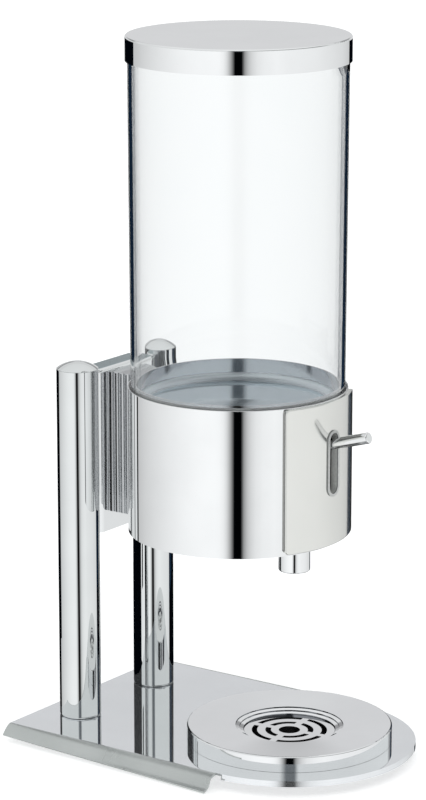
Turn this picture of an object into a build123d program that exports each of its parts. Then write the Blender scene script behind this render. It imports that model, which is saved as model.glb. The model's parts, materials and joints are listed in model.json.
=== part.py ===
from build123d import *
import math
import os

os.makedirs("parts", exist_ok=True)

# Buffet juice dispenser. Millimetres, +Z up, front at -Y, +X to the right seen from the front.
# Origin: middle of the footprint, on the table.

# ---------------------------------------------------------------- driving dimensions
PLATE_TOP = 11.5            # top of the base plate above the table
SHEET = 1.5                 # base plate sheet
PLATE_HW = 90.3             # half width of the flat, and radius of the front lobe
TRAY_Y = -46.3              # axis of the drip tray and of the lobe
REAR_Y = TRAY_Y + 182.9     # rear edge of the plate
LIP_H = 4.3                 # turned-down lip around the lobe
LIP_GAP = 4.0               # relief between lip and side flange
FLANGE_REAR = [(0, 0), (2.6, -0.6), (4.9, -2.0), (6.6, -3.5), (7.8, -4.8), (8.7, -5.9), (9.5, -7.0)]
FLANGE_FRONT = [(0, 0), (4.4, -0.7), (7.5, -2.4), (8.9, -4.7), (9.9, -6.8), (12.0, -8.4), (15.2, -9.3)]

FOOT_R = 9.0
FEET = [(-72, REAR_Y - 24), (72, REAR_Y - 24), (-40, TRAY_Y - 28), (40, TRAY_Y - 28)]

COLUMN_X = 44.9
COLUMN_Y = TRAY_Y + 154.0
COLUMN_R = 15.0
COLUMN_WALL = 2.0
COLUMN_H = 259.2
DOME_H = 5.2
BOLT_R = 4.0                # M8

BACK_FRONT = TRAY_Y + 146.2
BACK_REAR = COLUMN_Y + (COLUMN_Y - BACK_FRONT)
BACK_Z0 = PLATE_TOP + 134.4
BACK_Z1 = PLATE_TOP + 255.9
BACK_WALL = 2.0
BACK_CAVITY_HW = 26.0
BACK_SCREW_Z = (PLATE_TOP + 172.0, PLATE_TOP + 220.0)

HEAD_Y = TRAY_Y + 45.5      # axis of the drum and the container
SHELL_R = 77.9
SHELL_WALL = 0.8
SHELL_Z0 = PLATE_TOP + 148.1
SHELL_Z1 = PLATE_TOP + 253.2
SHELL_IN = SHELL_R - SHELL_WALL
BLOCK_HW = 16.5
BLOCK_Z0 = PLATE_TOP + 148.2
BLOCK_Z1 = PLATE_TOP + 252.2
BLOCK_SCREW_X = 9.0
BLOCK_SCREW_Z = (PLATE_TOP + 164.0, PLATE_TOP + 232.0)
SHELL_SCREW_Z = (PLATE_TOP + 169.0, PLATE_TOP + 194.0, PLATE_TOP + 219.0)

PANEL_R = 81.0
PANEL_HW = 41.6
PANEL_Z0 = PLATE_TOP + 149.4
PANEL_Z1 = PLATE_TOP + 252.7
PANEL_SHEET = 1.5
PANEL_CORNER = 3.0
PANEL_BACK = SHELL_R + 0.05
WINDOW_HW = 31.0
WINDOW_Z0 = PLATE_TOP + 156.5
WINDOW_Z1 = PLATE_TOP + 233.0
STUD_X = 36.0
STUD_Z = (PLATE_TOP + 160.5, PLATE_TOP + 219.0)
SLOT_Z0 = PLATE_TOP + 184.7
SLOT_Z1 = PLATE_TOP + 232.3
SLOT_W = 14.0
SLEEVE_R = 76.2            # the trim frame reaches in to here

SPOUT_Y = TRAY_Y - 3.4      # tap axis
TAP_Z = PLATE_TOP + 212.9   # lever pivot and rotor axis
LEVER_REST = 16.5           # rod above horizontal at rest, degrees
LEVER_TRAVEL = 43.0         # degrees, pressed down to pour
ROD_R = 4.0
ROD_TIP = 64.3              # from the pivot
ROTOR_R = 11.0
RUN_FIT = 0.05
PORT_R = 3.6
SHAFT_R = 5.0
BARREL_R = 15.5
BARREL_HL = 14.5
SPOUT_R = 11.2
SPOUT_Z0 = PLATE_TOP + 125.7
SPOUT_Z1 = PLATE_TOP + 181.1
PLATE_UP = PLATE_TOP + 239.2    # container stands here
SUPPORT_T = 3.0

CUP_R_RIM = 75.8            # outer radius where the container leaves the drum
CUP_R_LID = 77.1            # outer radius under the lid
CUP_WALL = 3.0
BASE_T = 1.5                # container base disc
COLLAR_TOP = PLATE_TOP + 255.9
COLLAR_BEND = 5.0           # inside radius between floor and collar
CUP_TOP = PLATE_TOP + 496.8
LID_Z0 = PLATE_TOP + 483.9
LID_Z1 = PLATE_TOP + 501.2
LID_R = 78.8
LID_T = 1.2
TAIL_R = 8.0

TRAY_R = 73.3
TRAY_TOP = PLATE_TOP + 11.55
WELL_R = 38.4
WELL_DIP = 1.4              # fall of the tray's top from its rim to the well
SIEVE_TOP = PLATE_TOP + 5.9
SIEVE_R = 32.4


def cup_r(z):
    """Outer radius of the tapered container at height z."""
    z_rim = SHELL_Z1
    return CUP_R_RIM + (CUP_R_LID - CUP_R_RIM) * (z - z_rim) / (LID_Z0 - z_rim)


def axial(x, y):
    """Upright plane through a vertical axis: local x is radius, local y is height."""
    return Plane(origin=(x, y, 0), x_dir=(1, 0, 0), z_dir=(0, -1, 0))


def across(x):
    """Plane square to X at x, centred on the tap's pivot: local x is +Y, local y is +Z."""
    return Plane(origin=(x, SPOUT_Y, TAP_Z), x_dir=(0, 1, 0), z_dir=(1, 0, 0))


def flange_profile(points, side):
    """Upper and lower curve of the folded flange, lower one a sheet thickness below."""
    top, low = [], []
    for i, (dx, dz) in enumerate(points):
        a = points[max(i - 1, 0)]
        b = points[min(i + 1, len(points) - 1)]
        tx, tz = b[0] - a[0], b[1] - a[1]
        if i == 0:
            tx, tz = 1.0, 0.0
        n = math.hypot(tx, tz)
        top.append((side * (PLATE_HW + dx), PLATE_TOP + dz))
        low.append((side * (PLATE_HW + dx + SHEET * tz / n), PLATE_TOP + dz - SHEET * tx / n))
    return top, low


head_axis = Axis((0, HEAD_Y, 0), (0, 0, 1))
tray_axis = Axis((0, TRAY_Y, 0), (0, 0, 1))
tap_axis = Axis((0, SPOUT_Y, 0), (0, 0, 1))
pivot_axis = Axis((0, SPOUT_Y, TAP_Z), (1, 0, 0))

# ---------------------------------------------------------------- stand
# Base plate: flat with a round lobe, lip around the lobe, S-shaped flange on each side.
with BuildPart() as base_plate:
    with BuildSketch(Plane.XY.offset(PLATE_TOP - SHEET)):
        with BuildLine():
            Line((-PLATE_HW, REAR_Y), (-PLATE_HW, TRAY_Y))
            ThreePointArc((-PLATE_HW, TRAY_Y), (0, TRAY_Y - PLATE_HW), (PLATE_HW, TRAY_Y))
            Line((PLATE_HW, TRAY_Y), (PLATE_HW, REAR_Y))
            Line((PLATE_HW, REAR_Y), (-PLATE_HW, REAR_Y))
        make_face()
    extrude(amount=SHEET)
    with BuildSketch(Plane.XY.offset(PLATE_TOP - LIP_H)):
        with Locations((0, TRAY_Y)):
            Circle(PLATE_HW)
            Circle(PLATE_HW - SHEET, mode=Mode.SUBTRACT)
        with Locations((0, TRAY_Y + 100 - LIP_GAP)):
            Rectangle(200, 200, mode=Mode.SUBTRACT)
    extrude(amount=LIP_H)
    for side in (-1, 1):
        for y, points in ((REAR_Y, FLANGE_REAR), (TRAY_Y, FLANGE_FRONT)):
            top, low = flange_profile(points, side)
            with BuildSketch(axial(0, y)):
                with BuildLine():
                    Spline(*top, tangents=[(side, 0), (top[-1][0] - top[-2][0], top[-1][1] - top[-2][1])])
                    Line(top[-1], low[-1])
                    Spline(*low, tangents=[(side, 0), (low[-1][0] - low[-2][0], low[-1][1] - low[-2][1])])
                    Line(low[0], top[0])
                make_face()
        loft(ruled=True)
    with Locations(*[(x, COLUMN_Y, PLATE_TOP) for x in (-COLUMN_X, COLUMN_X)]):
        Hole(BOLT_R + 0.5, depth=SHEET)
    lobe_edge = [
        e for e in base_plate.edges().filter_by(GeomType.CIRCLE)
        if abs(e.radius - PLATE_HW) < 0.01 and abs(e.center().Z - PLATE_TOP) < 0.01
        and e.bounding_box().max.Y < TRAY_Y - LIP_GAP + 0.01
    ]
    if lobe_edge:
        fillet(lobe_edge, 0.9)
base_plate.part.label = "base_plate"
export_step(base_plate.part, "parts/base_plate.step")

# Rubber pads under the plate.
with BuildPart() as base_feet:
    with BuildSketch(Plane.XY):
        with Locations(*FEET):
            Circle(FOOT_R)
    extrude(amount=PLATE_TOP - SHEET)
    chamfer(base_feet.edges().filter_by(GeomType.CIRCLE).group_by(Axis.Z)[0], 0.8)
base_feet.part.label = "base_feet"
export_step(base_feet.part, "parts/base_feet.step")

# Columns: tubes with two holes each on the inner side for the threaded inserts.
with BuildPart() as left_column:
    with BuildSketch(Plane.XY.offset(PLATE_TOP)):
        with Locations((-COLUMN_X, COLUMN_Y)):
            Circle(COLUMN_R)
            Circle(COLUMN_R - COLUMN_WALL, mode=Mode.SUBTRACT)
    extrude(amount=COLUMN_H)
    fillet(left_column.edges().filter_by(GeomType.CIRCLE).group_by(Axis.Z)[0].sort_by(SortBy.RADIUS)[-1:], 1.6)
    chamfer(left_column.edges().filter_by(GeomType.CIRCLE).group_by(Axis.Z)[-1].sort_by(SortBy.RADIUS)[-1:], 0.3)
    with BuildSketch(Plane.YZ.offset(-COLUMN_X)):
        with Locations(*[(COLUMN_Y, z) for z in BACK_SCREW_Z]):
            Circle(4.55)
    extrude(amount=COLUMN_R + 2, mode=Mode.SUBTRACT)
left_column.part.label = "left_column"
export_step(left_column.part, "parts/left_column.step")

with BuildPart() as right_column:
    with BuildSketch(Plane.XY.offset(PLATE_TOP)):
        with Locations((COLUMN_X, COLUMN_Y)):
            Circle(COLUMN_R)
            Circle(COLUMN_R - COLUMN_WALL, mode=Mode.SUBTRACT)
    extrude(amount=COLUMN_H)
    fillet(right_column.edges().filter_by(GeomType.CIRCLE).group_by(Axis.Z)[0].sort_by(SortBy.RADIUS)[-1:], 1.6)
    chamfer(right_column.edges().filter_by(GeomType.CIRCLE).group_by(Axis.Z)[-1].sort_by(SortBy.RADIUS)[-1:], 0.3)
    with BuildSketch(Plane.YZ.offset(COLUMN_X)):
        with Locations(*[(COLUMN_Y, z) for z in BACK_SCREW_Z]):
            Circle(4.55)
    extrude(amount=-(COLUMN_R + 2), mode=Mode.SUBTRACT)
right_column.part.label = "right_column"
export_step(right_column.part, "parts/right_column.step")

# Domed end caps, pushed into the tubes.
CAP_Z = PLATE_TOP + COLUMN_H
SPIGOT_R = COLUMN_R - COLUMN_WALL - 0.02
with BuildPart() as left_column_cap:
    with BuildSketch(axial(-COLUMN_X, COLUMN_Y)):
        with BuildLine():
            Line((0, CAP_Z - 1.0), (0, CAP_Z + DOME_H))
            RadiusArc((0, CAP_Z + DOME_H), (COLUMN_R, CAP_Z), (COLUMN_R**2 + DOME_H**2) / (2 * DOME_H))
            Polyline((COLUMN_R, CAP_Z), (SPIGOT_R, CAP_Z), (SPIGOT_R, CAP_Z - 9.0),
                     (SPIGOT_R - 2.0, CAP_Z - 9.0), (SPIGOT_R - 2.0, CAP_Z - 1.0), (0, CAP_Z - 1.0))
        make_face()
    revolve(axis=Axis((-COLUMN_X, COLUMN_Y, 0), (0, 0, 1)))
left_column_cap.part.label = "left_column_cap"
export_step(left_column_cap.part, "parts/left_column_cap.step")

with BuildPart() as right_column_cap:
    with BuildSketch(axial(COLUMN_X, COLUMN_Y)):
        with BuildLine():
            Line((0, CAP_Z - 1.0), (0, CAP_Z + DOME_H))
            RadiusArc((0, CAP_Z + DOME_H), (COLUMN_R, CAP_Z), (COLUMN_R**2 + DOME_H**2) / (2 * DOME_H))
            Polyline((COLUMN_R, CAP_Z), (SPIGOT_R, CAP_Z), (SPIGOT_R, CAP_Z - 9.0),
                     (SPIGOT_R - 2.0, CAP_Z - 9.0), (SPIGOT_R - 2.0, CAP_Z - 1.0), (0, CAP_Z - 1.0))
        make_face()
    revolve(axis=Axis((COLUMN_X, COLUMN_Y, 0), (0, 0, 1)))
right_column_cap.part.label = "right_column_cap"
export_step(right_column_cap.part, "parts/right_column_cap.step")

# Threaded plugs welded into the tube feet, with the bolts and washers that hold them.
BOTH_COLUMNS = [(-COLUMN_X, COLUMN_Y), (COLUMN_X, COLUMN_Y)]
with BuildPart() as column_plugs:
    with BuildSketch(Plane.XY.offset(PLATE_TOP)):
        with Locations(*BOTH_COLUMNS):
            Circle(COLUMN_R - COLUMN_WALL - 0.02)
            Circle(BOLT_R + 0.04, mode=Mode.SUBTRACT)
    extrude(amount=16)
column_plugs.part.label = "column_plugs"
export_step(column_plugs.part, "parts/column_plugs.step")

WASHER_T = 1.6
with BuildPart() as column_washers:
    with BuildSketch(Plane.XY.offset(PLATE_TOP - SHEET - WASHER_T)):
        with Locations(*BOTH_COLUMNS):
            Circle(11.0)
            Circle(BOLT_R + 0.3, mode=Mode.SUBTRACT)
    extrude(amount=WASHER_T)
column_washers.part.label = "column_washers"
export_step(column_washers.part, "parts/column_washers.step")

with BuildPart() as column_bolts:
    with BuildSketch(Plane.XY.offset(PLATE_TOP - SHEET - WASHER_T - 5.3)):
        with Locations(*BOTH_COLUMNS):
            RegularPolygon(6.5, 6, major_radius=False)
    extrude(amount=5.3)
    with BuildSketch(Plane.XY.offset(PLATE_TOP - SHEET - WASHER_T)):
        with Locations(*BOTH_COLUMNS):
            Circle(BOLT_R)
    extrude(amount=17.0)
column_bolts.part.label = "column_bolts"
export_step(column_bolts.part, "parts/column_bolts.step")

# Back plate: a shallow pressed box between the columns, rounded in front, open at the rear.
POST = 9.0
POST_X = BACK_CAVITY_HW - POST / 2
POST_Z = (BACK_Z0 + BACK_WALL + POST / 2, BACK_Z1 - BACK_WALL - POST / 2)
COVER_T = 1.2
CORNERS = [(x, z) for x in (-POST_X, POST_X) for z in POST_Z]
with BuildPart() as back_plate:
    with BuildSketch(Plane.XY.offset(BACK_Z0)):
        with Locations((0, COLUMN_Y)):
            Rectangle(2 * (COLUMN_X - COLUMN_R - 0.04), BACK_REAR - BACK_FRONT)
    extrude(amount=BACK_Z1 - BACK_Z0)
    fillet(back_plate.edges().filter_by(Axis.Z).group_by(Axis.Y)[0], 5.0)
    top_edges = back_plate.faces().sort_by(Axis.Z)[-1].edges()
    fillet(top_edges.filter_by(lambda e: e.center().Y < BACK_FRONT + 4.0), 3.2)
    with BuildSketch(Plane.XZ.offset(-BACK_REAR)):
        with Locations((0, (BACK_Z0 + BACK_Z1) / 2)):
            Rectangle(2 * BACK_CAVITY_HW, BACK_Z1 - BACK_Z0 - 2 * BACK_WALL)
    extrude(amount=BACK_REAR - BACK_FRONT - BACK_WALL, mode=Mode.SUBTRACT)
    with BuildSketch(Plane.XZ.offset(-(BACK_REAR - COVER_T))):
        with Locations(*CORNERS):
            Rectangle(POST, POST)
    extrude(amount=BACK_REAR - COVER_T - BACK_FRONT - BACK_WALL / 2)
    with BuildSketch(Plane.XZ.offset(-(BACK_REAR - COVER_T))):
        with Locations(*CORNERS):
            Circle(1.55)
    extrude(amount=9.0, mode=Mode.SUBTRACT)
    with BuildSketch(Plane.YZ):
        with Locations(*[(COLUMN_Y, z) for z in BACK_SCREW_Z]):
            Circle(3.3)
    extrude(amount=COLUMN_X, both=True, mode=Mode.SUBTRACT)
    with BuildSketch(Plane.XZ.offset(-BACK_FRONT)):
        with Locations(*[(x, z) for x in (-BLOCK_SCREW_X, BLOCK_SCREW_X) for z in BLOCK_SCREW_Z]):
            Circle(3.3)
    extrude(amount=-BACK_WALL - 0.5, mode=Mode.SUBTRACT)
back_plate.part.label = "back_plate"
export_step(back_plate.part, "parts/back_plate.step")

with BuildPart() as back_cover:
    with BuildSketch(Plane.XZ.offset(-BACK_REAR)):
        with Locations((0, (BACK_Z0 + BACK_Z1) / 2)):
            Rectangle(2 * BACK_CAVITY_HW - 0.2, BACK_Z1 - BACK_Z0 - 2 * BACK_WALL - 0.2)
        with Locations(*CORNERS):
            Circle(1.8, mode=Mode.SUBTRACT)
    extrude(amount=COVER_T)
back_cover.part.label = "back_cover"
export_step(back_cover.part, "parts/back_cover.step")

with BuildPart() as back_cover_screws:
    with BuildSketch(Plane.XZ.offset(-BACK_REAR)):
        with Locations(*CORNERS):
            Circle(2.9)
    extrude(amount=-1.8)
    fillet(back_cover_screws.edges().filter_by(GeomType.CIRCLE).group_by(Axis.Y)[-1], 0.8)
    with BuildSketch(Plane.XZ.offset(-BACK_REAR)):
        with Locations(*CORNERS):
            Circle(1.5)
    extrude(amount=8.0)
    with BuildSketch(Plane.XZ.offset(-(BACK_REAR + 1.8))):
        with Locations(*CORNERS):
            RegularPolygon(1.0, 6)
    extrude(amount=1.0, mode=Mode.SUBTRACT)
back_cover_screws.part.label = "back_cover_screws"
export_step(back_cover_screws.part, "parts/back_cover_screws.step")

# Threaded inserts in the column walls and the screws from inside the box.
TUBE_IN_X = COLUMN_X - COLUMN_R
with BuildPart() as column_inserts:
    for side in (-1, 1):
        with BuildSketch(Plane.YZ.offset(side * (TUBE_IN_X + 0.8))):
            with Locations(*[(COLUMN_Y, z) for z in BACK_SCREW_Z]):
                Circle(4.5)
        extrude(amount=side * 11.0)
        with BuildSketch(Plane.YZ.offset(side * (TUBE_IN_X + 4.2))):
            with Locations(*[(COLUMN_Y, z) for z in BACK_SCREW_Z]):
                Circle(6.2)
        extrude(amount=side * 3.5)
    with BuildSketch(Plane.YZ):
        with Locations(*[(COLUMN_Y, z) for z in BACK_SCREW_Z]):
            Circle(3.05)
    extrude(amount=COLUMN_X, both=True, mode=Mode.SUBTRACT)
column_inserts.part.label = "column_inserts"
export_step(column_inserts.part, "parts/column_inserts.step")

with BuildPart() as back_plate_screws:
    for side in (-1, 1):
        with BuildSketch(Plane.YZ.offset(side * BACK_CAVITY_HW)):
            with Locations(*[(COLUMN_Y, z) for z in BACK_SCREW_Z]):
                Circle(5.0)
                RegularPolygon(2.5, 6, major_radius=False, mode=Mode.SUBTRACT)
        extrude(amount=-side * 6.0)
        with BuildSketch(Plane.YZ.offset(side * (BACK_CAVITY_HW - 2.0))):
            with Locations(*[(COLUMN_Y, z) for z in BACK_SCREW_Z]):
                Circle(3.0)
        extrude(amount=side * 16.0)
back_plate_screws.part.label = "back_plate_screws"
export_step(back_plate_screws.part, "parts/back_plate_screws.step")

# Hanger block between the back plate and the drum, hollowed to the drum's curve, with fluted sides.
with BuildPart() as hanger_block:
    with BuildSketch(Plane.XY.offset(BLOCK_Z0)):
        with Locations((0, (BACK_FRONT - 0.02 + HEAD_Y + 60) / 2)):
            Rectangle(2 * BLOCK_HW, BACK_FRONT - 0.02 - HEAD_Y - 60)
        with Locations((0, HEAD_Y)):
            Circle(SHELL_R + 0.03, mode=Mode.SUBTRACT)
    extrude(amount=BLOCK_Z1 - BLOCK_Z0)
    fillet(hanger_block.edges().filter_by(Axis.Y).group_by(Axis.Z)[-1], 0.8)
    with BuildSketch(Plane.XY.offset(BLOCK_Z0)):
        with Locations(*[(sx * (BLOCK_HW + 2.6), BACK_FRONT - 2.7 - 4.6 * k) for sx in (-1, 1) for k in range(5)]):
            Circle(3.2)
    extrude(amount=BLOCK_Z1 - BLOCK_Z0, mode=Mode.SUBTRACT)
    with BuildSketch(Plane.XZ.offset(-BACK_FRONT)):
        with Locations(*[(x, z) for x in (-BLOCK_SCREW_X, BLOCK_SCREW_X) for z in BLOCK_SCREW_Z]):
            Circle(3.05)
    extrude(amount=14.0, mode=Mode.SUBTRACT)
    with BuildSketch(Plane.XZ.offset(-HEAD_Y)):
        with Locations(*[(0, z) for z in SHELL_SCREW_Z]):
            Circle(2.55)
    extrude(amount=-(SHELL_R + 14.0), mode=Mode.SUBTRACT)
hanger_block.part.label = "hanger_block"
export_step(hanger_block.part, "parts/hanger_block.step")

with BuildPart() as hanger_screws:
    spots = [(x, z) for x in (-BLOCK_SCREW_X, BLOCK_SCREW_X) for z in BLOCK_SCREW_Z]
    with BuildSketch(Plane.XZ.offset(-(BACK_FRONT + BACK_WALL))):
        with Locations(*spots):
            Circle(5.0)
            RegularPolygon(2.5, 6, major_radius=False, mode=Mode.SUBTRACT)
    extrude(amount=-6.0)
    with BuildSketch(Plane.XZ.offset(-(BACK_FRONT + BACK_WALL + 2.0))):
        with Locations(*spots):
            Circle(3.0)
    extrude(amount=16.0)
hanger_screws.part.label = "hanger_screws"
export_step(hanger_screws.part, "parts/hanger_screws.step")

# ---------------------------------------------------------------- drum
with BuildPart() as housing_shell:
    with BuildSketch(Plane.XY.offset(SHELL_Z0)):
        with Locations((0, HEAD_Y)):
            Circle(SHELL_R)
            Circle(SHELL_IN, mode=Mode.SUBTRACT)
    extrude(amount=SHELL_Z1 - SHELL_Z0)
    fillet(housing_shell.edges().filter_by(GeomType.CIRCLE).group_by(Axis.Z)[-1], 0.3)
    with BuildSketch(Plane.XZ.offset(-HEAD_Y)):
        with Locations((0, (WINDOW_Z0 + WINDOW_Z1) / 2)):
            RectangleRounded(2 * WINDOW_HW, WINDOW_Z1 - WINDOW_Z0, 4.0)
        with Locations(*[(x, z) for x in (-STUD_X, STUD_X) for z in STUD_Z]):
            Circle(1.8)
    extrude(amount=100, mode=Mode.SUBTRACT)
    with BuildSketch(Plane.XZ.offset(-HEAD_Y)):
        with Locations(*[(0, z) for z in SHELL_SCREW_Z]):
            Circle(2.7)
    extrude(amount=-100, mode=Mode.SUBTRACT)
housing_shell.part.label = "housing_shell"
export_step(housing_shell.part, "parts/housing_shell.step")

# Screws from inside the drum into the hanger block.
with BuildPart() as shell_screws:
    head_y = HEAD_Y + SHELL_IN - 0.25
    with BuildSketch(Plane.XZ.offset(-head_y)):
        with Locations(*[(0, z) for z in SHELL_SCREW_Z]):
            Circle(4.4)
    extrude(amount=2.6)
    fillet(shell_screws.edges().filter_by(GeomType.CIRCLE).group_by(Axis.Y)[0], 1.0)
    with BuildSketch(Plane.XZ.offset(-head_y)):
        with Locations(*[(0, z) for z in SHELL_SCREW_Z]):
            Circle(2.5)
    extrude(amount=-13.0)
shell_screws.part.label = "shell_screws"
export_step(shell_screws.part, "parts/shell_screws.step")

# Soft trim ring between the drum's rim and the container.
with BuildPart() as rim_ring:
    with BuildSketch(Plane.XY.offset(SHELL_Z1 - 9.0)):
        with Locations((0, HEAD_Y)):
            Circle(SHELL_IN - 0.02)
            Circle(CUP_R_RIM + 0.32, mode=Mode.SUBTRACT)
    extrude(amount=7.2)
rim_ring.part.label = "rim_ring"
export_step(rim_ring.part, "parts/rim_ring.step")

# Plate that the container stands on, welded into the drum.
FLANGE_SCREW = 15.6 / math.sqrt(2)
FLANGE_SPOTS = [(sx * FLANGE_SCREW, SPOUT_Y + sy * FLANGE_SCREW) for sx in (-1, 1) for sy in (-1, 1)]
PILLAR_SPOTS = [(60 * math.cos(math.radians(a)), HEAD_Y + 60 * math.sin(math.radians(a))) for a in (90, 200, 340)]
with BuildPart() as support_plate:
    with BuildSketch(Plane.XY.offset(PLATE_UP - SUPPORT_T)):
        with Locations((0, HEAD_Y)):
            Circle(SHELL_IN - 0.02)
        with Locations((0, SPOUT_Y)):
            Circle(TAIL_R + 0.6, mode=Mode.SUBTRACT)
    extrude(amount=SUPPORT_T)
    with Locations(*[(x, y, PLATE_UP) for x, y in FLANGE_SPOTS]):
        CounterSinkHole(2.1, 4.2, depth=SUPPORT_T, counter_sink_angle=90)
support_plate.part.label = "support_plate"
export_step(support_plate.part, "parts/support_plate.step")

COVER_Z = PLATE_TOP + 150.2
with BuildPart() as pillars:
    with BuildSketch(Plane.XY.offset(COVER_Z + 1.5)):
        with Locations(*PILLAR_SPOTS):
            Circle(5.0)
    extrude(amount=PLATE_UP - SUPPORT_T - COVER_Z - 1.5)
    with BuildSketch(Plane.XY.offset(COVER_Z + 1.5)):
        with Locations(*PILLAR_SPOTS):
            Circle(2.05)
    extrude(amount=12.0, mode=Mode.SUBTRACT)
pillars.part.label = "pillars"
export_step(pillars.part, "parts/pillars.step")

with BuildPart() as bottom_cover:
    with BuildSketch(Plane.XY.offset(COVER_Z)):
        with Locations((0, HEAD_Y)):
            Circle(SHELL_IN - 0.1)
        with Locations((0, SPOUT_Y)):
            Circle(SPOUT_R + 0.8, mode=Mode.SUBTRACT)
        with Locations(*PILLAR_SPOTS):
            Circle(2.3, mode=Mode.SUBTRACT)
    extrude(amount=1.5)
bottom_cover.part.label = "bottom_cover"
export_step(bottom_cover.part, "parts/bottom_cover.step")

with BuildPart() as bottom_cover_screws:
    with BuildSketch(Plane.XY.offset(COVER_Z - 1.6)):
        with Locations(*PILLAR_SPOTS):
            Circle(4.2)
            RegularPolygon(1.5, 6, major_radius=False, mode=Mode.SUBTRACT)
    extrude(amount=1.6)
    with BuildSketch(Plane.XY.offset(COVER_Z - 0.5)):
        with Locations(*PILLAR_SPOTS):
            Circle(2.0)
    extrude(amount=11.0)
bottom_cover_screws.part.label = "bottom_cover_screws"
export_step(bottom_cover_screws.part, "parts/bottom_cover_screws.step")

# Front panel: a curved pan standing proud of the drum, edges folded back, four welded studs.
with BuildPart() as panel_hollow:
    with BuildSketch(Plane.XZ.offset(-HEAD_Y)):
        with Locations((0, (PANEL_Z0 + PANEL_Z1) / 2)):
            RectangleRounded(2 * (PANEL_HW - PANEL_SHEET - 1.6), PANEL_Z1 - PANEL_Z0 - 2 * PANEL_SHEET, PANEL_CORNER - 1.2)
    extrude(amount=100)
    with BuildSketch(Plane.XY.offset(PANEL_Z0)):
        with Locations((0, HEAD_Y)):
            Circle(PANEL_R - PANEL_SHEET)
    extrude(amount=PANEL_Z1 - PANEL_Z0, mode=Mode.INTERSECT)

PANEL_APEX = HEAD_Y - 9.2    # the folded sides run towards this point
with BuildPart() as front_panel:
    with BuildSketch(Plane.XY.offset(PANEL_Z0)):
        with Locations((0, HEAD_Y)):
            Circle(PANEL_R)
            Circle(PANEL_R - 11, mode=Mode.SUBTRACT)
        corner_y = HEAD_Y - math.sqrt(PANEL_R**2 - PANEL_HW**2)
        reach = PANEL_APEX + 1.4 * (corner_y - PANEL_APEX)
        Polygon((0, PANEL_APEX), (-1.4 * PANEL_HW, reach), (1.4 * PANEL_HW, reach), mode=Mode.INTERSECT)
    extrude(amount=PANEL_Z1 - PANEL_Z0)
    fillet([e for e in front_panel.edges().filter_by(GeomType.LINE) if abs(e.tangent_at(0.5).Z) < 0.01], PANEL_CORNER)
    outside = [f for f in front_panel.faces().filter_by(GeomType.CYLINDER)
               if abs(math.hypot(f.center().X, f.center().Y - HEAD_Y) - PANEL_R) < 0.5][0]
    fillet(outside.edges(), 0.8)
    with BuildSketch(Plane.XY.offset(PANEL_Z0)):
        with Locations((0, HEAD_Y)):
            Circle(PANEL_BACK)
    extrude(amount=PANEL_Z1 - PANEL_Z0, mode=Mode.SUBTRACT)
    add(panel_hollow.part, mode=Mode.SUBTRACT)
    with BuildSketch(Plane.XZ.offset(-(HEAD_Y - 70))):
        with Locations((0, (SLOT_Z0 + SLOT_Z1) / 2)):
            SlotOverall(SLOT_Z1 - SLOT_Z0 - 1.9, SLOT_W - 1.9, rotation=90)
    extrude(amount=30, mode=Mode.SUBTRACT)
    stud_y = HEAD_Y - math.sqrt((PANEL_R - PANEL_SHEET / 2) ** 2 - STUD_X**2)
    with BuildSketch(Plane.XZ.offset(-stud_y)):
        with Locations(*[(x, z) for x in (-STUD_X, STUD_X) for z in STUD_Z]):
            Circle(1.5)
    extrude(amount=-10.5)
front_panel.part.label = "front_panel"
export_step(front_panel.part, "parts/front_panel.step")

NUT_Y = HEAD_Y - math.sqrt(SHELL_IN**2 - (STUD_X + 3.2) ** 2) + 0.1
with BuildPart() as panel_nuts:
    with BuildSketch(Plane.XZ.offset(-NUT_Y)):
        with Locations(*[(x, z) for x in (-STUD_X, STUD_X) for z in STUD_Z]):
            RegularPolygon(2.75, 6, major_radius=False)
            Circle(1.53, mode=Mode.SUBTRACT)
    extrude(amount=-2.4)
panel_nuts.part.label = "panel_nuts"
export_step(panel_nuts.part, "parts/panel_nuts.step")

# Trim frame in the lever slot: a flange outside, a sleeve through the panel.
with BuildPart() as bezel_neck:
    with BuildSketch(Plane.XZ.offset(-(HEAD_Y - 70))):
        with Locations((0, (SLOT_Z0 + SLOT_Z1) / 2)):
            SlotOverall(SLOT_Z1 - SLOT_Z0 - 2.0, SLOT_W - 2.0, rotation=90)
    extrude(amount=30)
    with BuildSketch(Plane.XY.offset(SLOT_Z0 - 5)):
        with Locations((0, HEAD_Y)):
            Circle(PANEL_R + 0.5)
    extrude(amount=SLOT_Z1 - SLOT_Z0 + 10, mode=Mode.INTERSECT)
    with BuildSketch(Plane.XY.offset(SLOT_Z0 - 5)):
        with Locations((0, HEAD_Y)):
            Circle(SLEEVE_R)
    extrude(amount=SLOT_Z1 - SLOT_Z0 + 10, mode=Mode.SUBTRACT)

with BuildPart() as slot_bezel:
    with BuildSketch(Plane.XZ.offset(-(HEAD_Y - 70))):
        with Locations((0, (SLOT_Z0 + SLOT_Z1) / 2)):
            SlotOverall(SLOT_Z1 - SLOT_Z0, SLOT_W, rotation=90)
    extrude(amount=30)
    with BuildSketch(Plane.XY.offset(SLOT_Z0 - 5)):
        with Locations((0, HEAD_Y)):
            Circle(PANEL_R + 0.9)
    extrude(amount=SLOT_Z1 - SLOT_Z0 + 10, mode=Mode.INTERSECT)
    with BuildSketch(Plane.XY.offset(SLOT_Z0 - 5)):
        with Locations((0, HEAD_Y)):
            Circle(PANEL_R + 0.03)
    extrude(amount=SLOT_Z1 - SLOT_Z0 + 10, mode=Mode.SUBTRACT)
    add(bezel_neck.part)
    with BuildSketch(Plane.XZ.offset(-(HEAD_Y - 70))):
        with Locations((0, (SLOT_Z0 + SLOT_Z1) / 2)):
            SlotOverall(SLOT_Z1 - SLOT_Z0 - 4.0, SLOT_W - 4.0, rotation=90)
    extrude(amount=30, mode=Mode.SUBTRACT)
slot_bezel.part.label = "slot_bezel"
export_step(slot_bezel.part, "parts/slot_bezel.step")

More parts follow.
